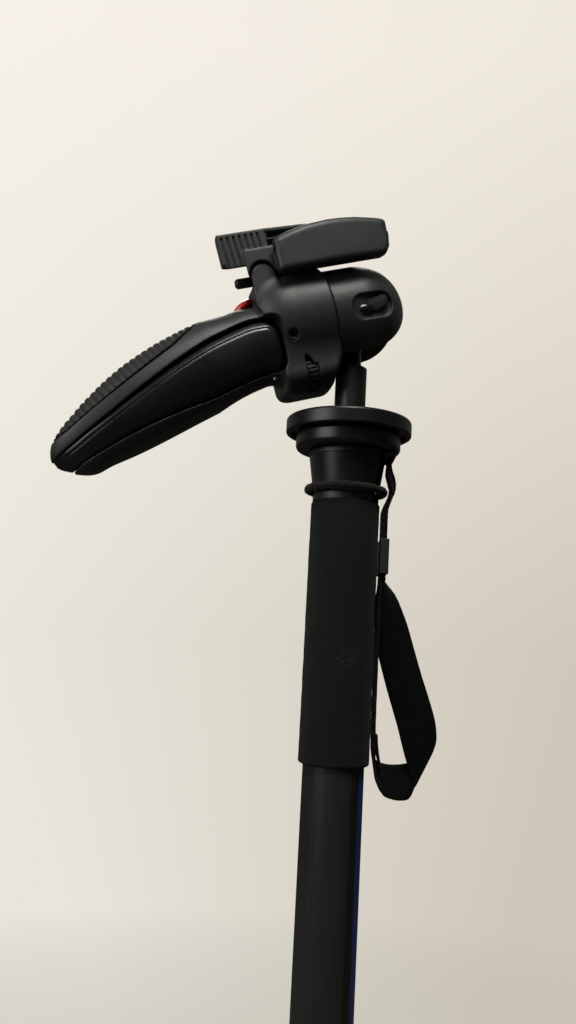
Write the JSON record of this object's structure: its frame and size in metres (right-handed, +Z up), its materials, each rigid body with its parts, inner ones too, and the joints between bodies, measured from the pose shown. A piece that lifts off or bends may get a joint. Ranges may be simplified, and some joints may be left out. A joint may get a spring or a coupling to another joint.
{
  "type": "camera monopod",
  "caption": "Telescoping camera monopod with flip locks, foam hand grip, wrist strap and a squeeze-grip ball head that carries a quick-release camera plate.",
  "frame": {"origin": "centre of the rubber foot's underside, with the leg closed", "axes": "+Z up along the leg, -X towards the head's handle at rest, +Y away from the trigger side"},
  "size_m": [0.182, 0.06, 0.6156],
  "materials": {
    "casting": "matte black, finely textured",
    "gloss": "glossy blue-black with fine scratches",
    "rubber": "matte",
    "foam": "soft closed-cell foam, matte",
    "anodised": "black anodised, satin",
    "tube": "dark charcoal anodised, satin, faint lengthwise streaks",
    "steel": "plain",
    "plastic": "matte",
    "liner": "slippery bearing plastic",
    "red": "plain red, bare",
    "webbing": "woven black webbing",
    "cord": "fuzzy black cord"
  },
  "bodies": {
    "leg": {"top_platform": "anodised", "platform_pad": "rubber", "mounting_stud": "steel", "cord_ring": "cord", "grip_collar": "plastic", "foam_grip": "foam", "upper_tube": "tube", "lock1_collar": "plastic", "lock1_pin": "steel", "lock1_bolt": "steel"},
    "strap": {"strap_ring": "plastic", "wrist_strap": "webbing"},
    "slider": {"strap_slider": "plastic"},
    "section_2": {"tube_2": "tube", "bushing_2": "plastic", "lock2_collar": "plastic", "lock2_pin": "steel", "lock2_bolt": "steel"},
    "section_3": {"tube_3": "tube", "bushing_3": "plastic", "lock3_collar": "plastic", "lock3_pin": "steel", "lock3_bolt": "steel"},
    "section_4": {"tube_4": "tube", "bushing_4": "plastic", "foot_plug": "plastic", "rubber_foot": "rubber"},
    "lock_1": {"lock1_lever": "casting"},
    "lock_2": {"lock2_lever": "casting"},
    "lock_3": {"lock3_lever": "casting"},
    "pan": {"base_disc": "anodised", "ball_stem": "anodised"},
    "tilt": {"ball_liner": "liner"},
    "head": {"ball_cup": "casting", "cup_screws": "steel", "grip_body": "casting", "brake_springs": "steel", "trigger_pin": "steel", "palm_pad": "rubber", "badge": "red", "set_screw": "steel", "wheel_axle": "steel", "clamp_base": "casting", "clamp_screw": "steel", "lever_pin": "steel"},
    "trigger": {"trigger": "gloss"},
    "brake": {"brake_shoe": "plastic", "brake_rod": "steel"},
    "clamp_lever": {"clamp_lever": "casting"},
    "catch": {"safety_catch": "plastic"},
    "plate": {"camera_plate": "casting", "plate_pad": "rubber"},
    "screw": {"camera_screw": "steel"},
    "wheel": {"friction_wheel": "plastic"}
  },
  "joints": [
    {"name": "strap_swivel", "type": "hinge", "parent": "leg", "child": "strap", "pos_m": [0, 0, 0.5008], "axis": [0, 0, 1], "continuous": true},
    {"name": "strap_slider_slide", "type": "slide", "parent": "strap", "child": "slider", "axis": [0, 0, 1], "range_m": [0, 0.008]},
    {"name": "tube_2_slide", "type": "slide", "parent": "leg", "child": "section_2", "axis": [0, 0, -1], "range_m": [0, 0.27]},
    {"name": "tube_3_slide", "type": "slide", "parent": "section_2", "child": "section_3", "axis": [0, 0, -1], "range_m": [0, 0.3]},
    {"name": "tube_4_slide", "type": "slide", "parent": "section_3", "child": "section_4", "axis": [0, 0, -1], "range_m": [0, 0.33]},
    {"name": "lock_1_flip", "type": "hinge", "parent": "leg", "child": "lock_1", "pos_m": [0.021, -0.0113, 0.128], "axis": [0, 0, 1], "range_deg": [0, 100]},
    {"name": "lock_2_flip", "type": "hinge", "parent": "section_2", "child": "lock_2", "pos_m": [0.019, -0.0113, 0.087], "axis": [0, 0, 1], "range_deg": [0, 100]},
    {"name": "lock_3_flip", "type": "hinge", "parent": "section_3", "child": "lock_3", "pos_m": [0.017, -0.0113, 0.048], "axis": [0, 0, 1], "range_deg": [0, 100]},
    {"name": "head_pan", "type": "hinge", "parent": "leg", "child": "pan", "pos_m": [0, 0, 0.5142], "axis": [0, 0, 1], "continuous": true},
    {"name": "head_tilt", "type": "hinge", "parent": "pan", "child": "tilt", "pos_m": [0, 0, 0.5725], "axis": [0, 1, 0], "range_deg": [0, 105]},
    {"name": "head_roll", "type": "hinge", "parent": "tilt", "child": "head", "pos_m": [0, 0, 0.5725], "axis": [0.9542, 0, 0.299], "range_deg": [-15, 15]},
    {"name": "trigger_squeeze", "type": "hinge", "parent": "head", "child": "trigger", "pos_m": [-0.04239, -0.009, 0.54559], "axis": [0.299, 0, -0.9542], "range_deg": [0, 3.5], "stiffness_Nm_per_rad": 3},
    {"name": "brake_pull", "type": "slide", "parent": "head", "child": "brake", "axis": [-0.9542, 0, -0.299], "range_m": [0, 0.0012]},
    {"name": "clamp_lever_swing", "type": "hinge", "parent": "head", "child": "clamp_lever", "pos_m": [-0.04057, -0.0234, 0.58493], "axis": [0.299, 0, -0.9542], "range_deg": [0, 60]},
    {"name": "safety_catch_push", "type": "slide", "parent": "head", "child": "catch", "axis": [0.9542, 0, 0.299], "range_m": [0, 0.004], "stiffness_N_per_m": 300},
    {"name": "plate_lift", "type": "slide", "parent": "head", "child": "plate", "axis": [-0.299, 0, 0.9542], "range_m": [0, 0.02]},
    {"name": "camera_screw_turn", "type": "hinge", "parent": "plate", "child": "screw", "pos_m": [-0.0261, 0, 0.60896], "axis": [-0.299, 0, 0.9542], "continuous": true},
    {"name": "friction_wheel_turn", "type": "hinge", "parent": "head", "child": "wheel", "pos_m": [-0.02198, -0.008, 0.53732], "axis": [0.9542, 0, 0.299], "continuous": true}
  ],
  "couplings": [
    {"joint": "brake_pull", "follows": "trigger_squeeze", "m_per_rad": 0.01637}
  ]
}
